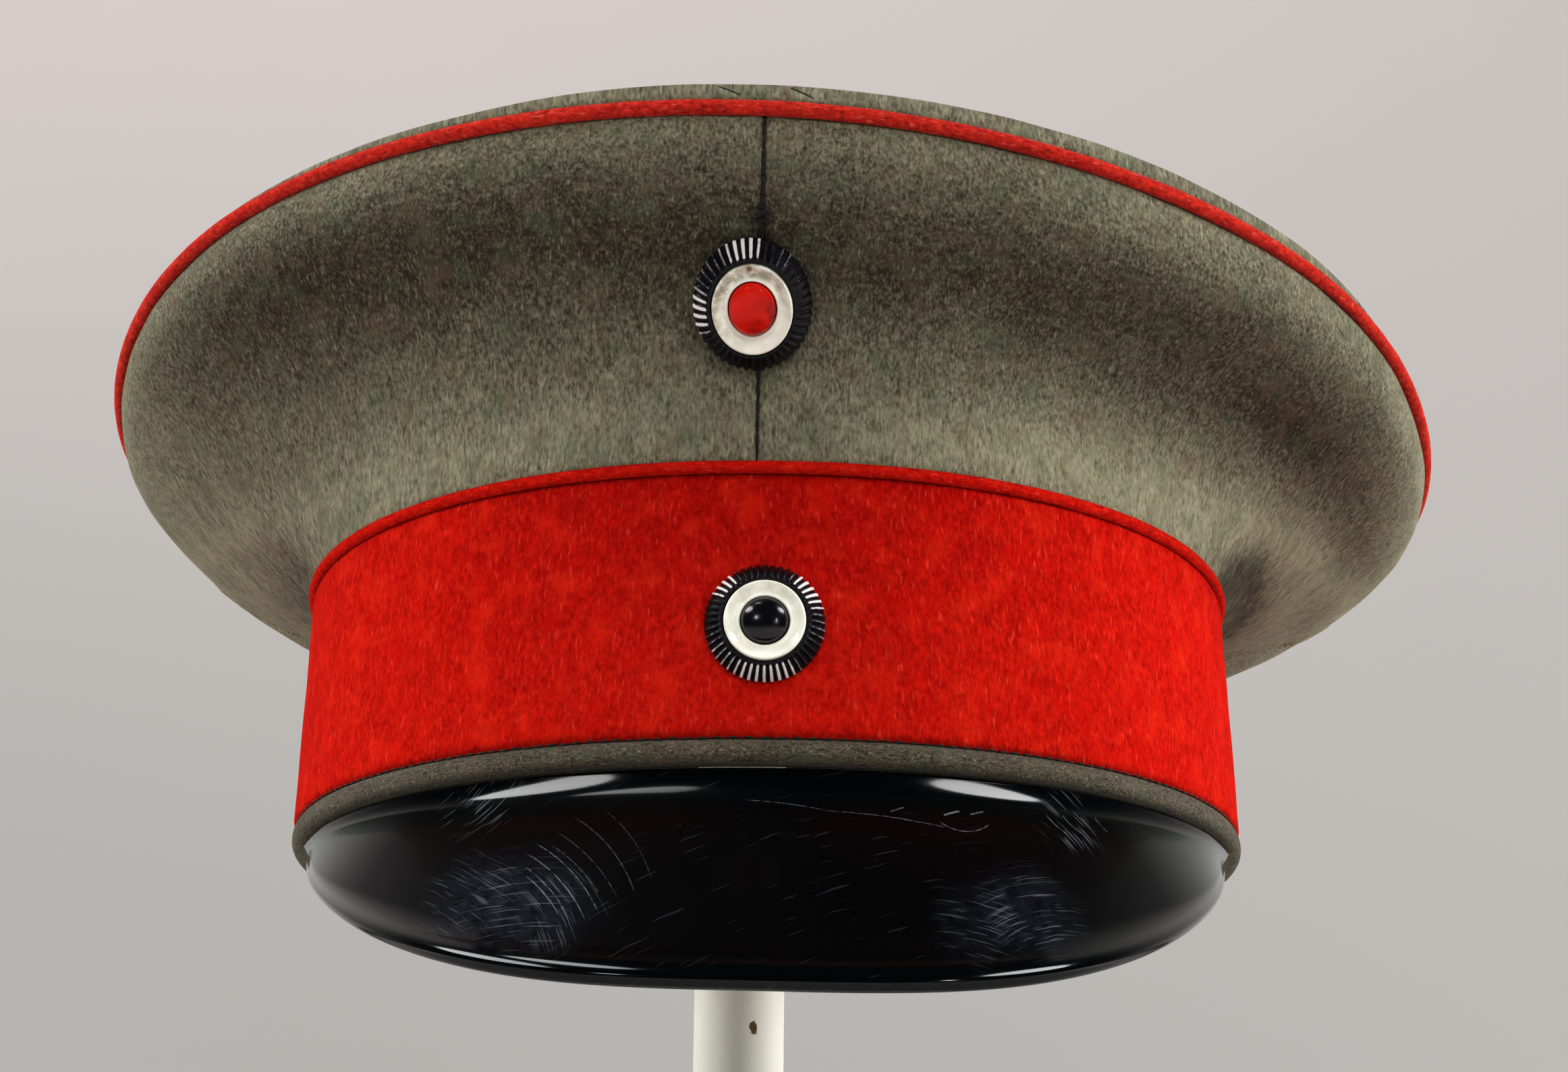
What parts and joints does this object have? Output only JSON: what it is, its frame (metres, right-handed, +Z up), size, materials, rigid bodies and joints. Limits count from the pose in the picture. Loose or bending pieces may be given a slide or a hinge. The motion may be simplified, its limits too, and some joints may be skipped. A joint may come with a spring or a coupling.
{
  "type": "visor cap on a stand",
  "caption": "Field-grey cloth visor cap with a red band, red piping, glossy black visor and two ringed cockades, held up by a plain white stand.",
  "frame": {"origin": "centre of the flat underside of the stand's base, on the post's axis", "axes": "+Z up along the post, -Y towards the cap's front, +X to the right of someone who looks at its front"},
  "size_m": [0.257, 0.2612, 0.3442],
  "materials": {
    "grey_wool": "milled field-grey wool with a short nap",
    "red_wool": "felted red wool",
    "red_piping": "red wool over a cord",
    "black_lacquer": "glossy black lacquer, finely scratched",
    "black_enamel": "worn black paint",
    "white_enamel": "aged white paint",
    "red_enamel": "aged red paint",
    "pin_steel": "dull plated steel",
    "stand_white": "off-white paint over turned wood"
  },
  "bodies": {
    "root": {"crown_left_back": "grey_wool", "crown_left_front": "grey_wool", "crown_right_front": "grey_wool", "crown_right_back": "grey_wool", "crown_top": "grey_wool", "crown_piping": "red_piping", "band_piping": "red_piping", "band": "red_wool", "band_body": "grey_wool", "visor": "black_lacquer", "upper_cockade_rim": "black_enamel", "upper_cockade_ring": "white_enamel", "upper_cockade_boss": "red_enamel", "upper_cockade_pin": "pin_steel", "lower_cockade_rim": "black_enamel", "lower_cockade_ring": "white_enamel", "lower_cockade_boss": "black_enamel", "lower_cockade_pin": "pin_steel", "stand_base": "stand_white", "stand_post": "stand_white", "stand_head": "stand_white"}
  },
  "joints": []
}
